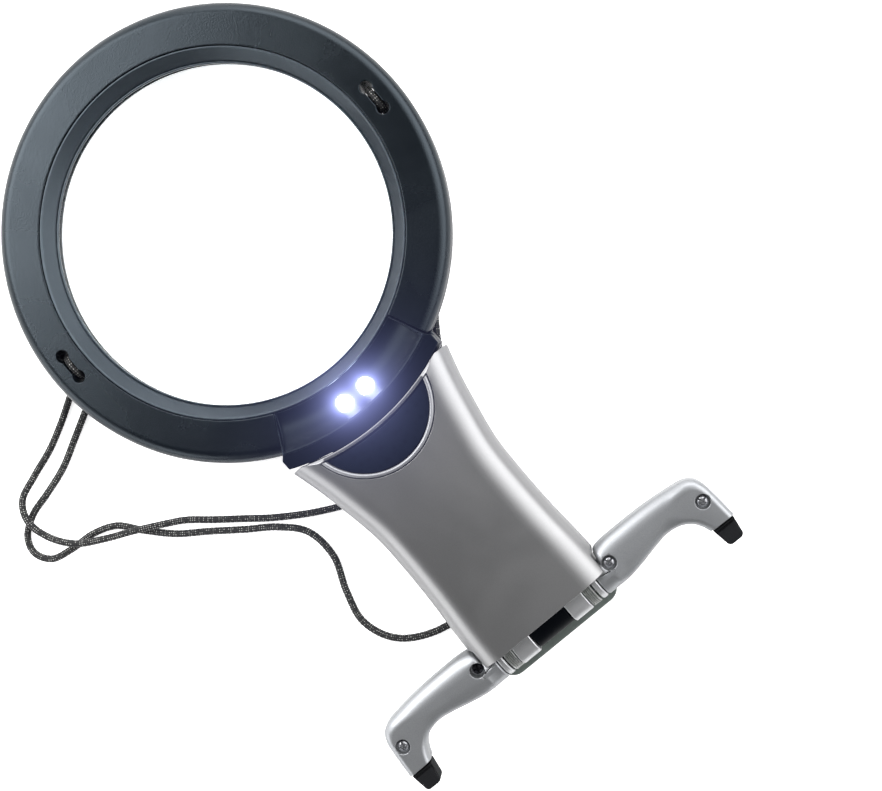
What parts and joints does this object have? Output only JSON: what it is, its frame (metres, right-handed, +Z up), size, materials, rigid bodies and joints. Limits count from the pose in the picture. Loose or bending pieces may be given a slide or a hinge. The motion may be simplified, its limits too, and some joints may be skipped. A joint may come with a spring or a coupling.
{
  "type": "lighted magnifying glass",
  "caption": "Hands-free magnifying glass: a wide clear lens in a black ring, a hood with lamps at its foot, a silver handle with a half-moon light button, folding rest legs and a neck cord.",
  "frame": {"origin": "middle of the hard parts' footprint on the table, the cord left out", "axes": "+X across the handle, +Y along the handle towards the lens, +Z up, out of the lamps' face"},
  "size_m": [0.1955, 0.2504, 0.0258],
  "materials": {
    "clear_acrylic": "polished, clear",
    "bevel_black": "satin",
    "satin_black": "fine matt grain",
    "gloss_black": "gloss",
    "lamp_white": "clear dome, lit white",
    "board_green": "satin",
    "silver_shell": "silver paint, satin",
    "bright_silver": "bright silver",
    "dark_silver": "dull silver",
    "screw_steel": "bright",
    "inner_black": "satin",
    "cell_jacket": "satin sleeve",
    "foot_grey": "matt",
    "soft_black": "matt",
    "cord_black": "braided"
  },
  "bodies": {
    "magnifier": {"lens": "clear_acrylic", "lens_retaining_ring": "bevel_black", "front_frame": "satin_black", "back_frame": "satin_black", "frame_screw_1": "screw_steel", "frame_screw_2": "screw_steel", "frame_screw_3": "screw_steel", "frame_screw_4": "screw_steel", "shell_screw_left": "screw_steel", "shell_screw_right": "screw_steel", "hinge_spring": "screw_steel", "hinge_axle": "screw_steel", "contact_spring_left": "screw_steel", "contact_spring_middle": "screw_steel", "contact_spring_right": "screw_steel", "led_hood": "gloss_black", "hinge_sleeve": "gloss_black", "led_left": "lamp_white", "led_right": "lamp_white", "led_board": "board_green", "switch_board": "board_green", "handle_front_shell": "silver_shell", "handle_back_shell": "silver_shell", "button_bezel": "bright_silver", "contact_strip_top": "bright_silver", "contact_strip_bottom": "bright_silver", "hinge_housing": "bright_silver", "friction_collar_left": "dark_silver", "friction_collar_right": "dark_silver", "switch_body": "inner_black", "battery_tray": "inner_black", "battery_cell_left": "cell_jacket", "battery_cell_middle": "cell_jacket", "battery_cell_right": "cell_jacket", "cord_bight_left": "cord_black", "cord_bight_right": "cord_black", "cord_strand": "cord_black", "cord_lead": "cord_black", "cord_coil": "cord_black", "cord_return": "cord_black"},
    "left_leg": {"friction_ring_left": "bright_silver", "leg_front_shell_left": "silver_shell", "leg_back_shell_left": "silver_shell", "foot_tip_left": "soft_black", "leg_root_screw_left": "screw_steel", "leg_foot_screw_left": "screw_steel"},
    "right_leg": {"friction_ring_right": "bright_silver", "leg_front_shell_right": "silver_shell", "leg_back_shell_right": "silver_shell", "foot_tip_right": "soft_black", "leg_root_screw_right": "screw_steel", "leg_foot_screw_right": "screw_steel"},
    "light_button": {"light_button": "gloss_black"},
    "battery_door": {"battery_door": "silver_shell", "rest_foot": "foot_grey"}
  },
  "joints": [
    {"name": "left_leg_swing", "type": "hinge", "parent": "magnifier", "child": "left_leg", "pos_m": [-0.0244, -0.1081, 0.0157], "axis": [1, 0, 0], "range_deg": [-90, 90]},
    {"name": "right_leg_swing", "type": "hinge", "parent": "magnifier", "child": "right_leg", "pos_m": [0.0244, -0.1081, 0.0157], "axis": [1, 0, 0], "range_deg": [-90, 90]},
    {"name": "light_button_press", "type": "slide", "parent": "magnifier", "child": "light_button", "axis": [0, 0, -1], "range_m": [0, 0.001], "stiffness_N_per_m": 2000, "springref_m": -0.0004},
    {"name": "battery_door_slide", "type": "slide", "parent": "magnifier", "child": "battery_door", "axis": [0, -1, 0], "range_m": [0, 0.062]}
  ]
}
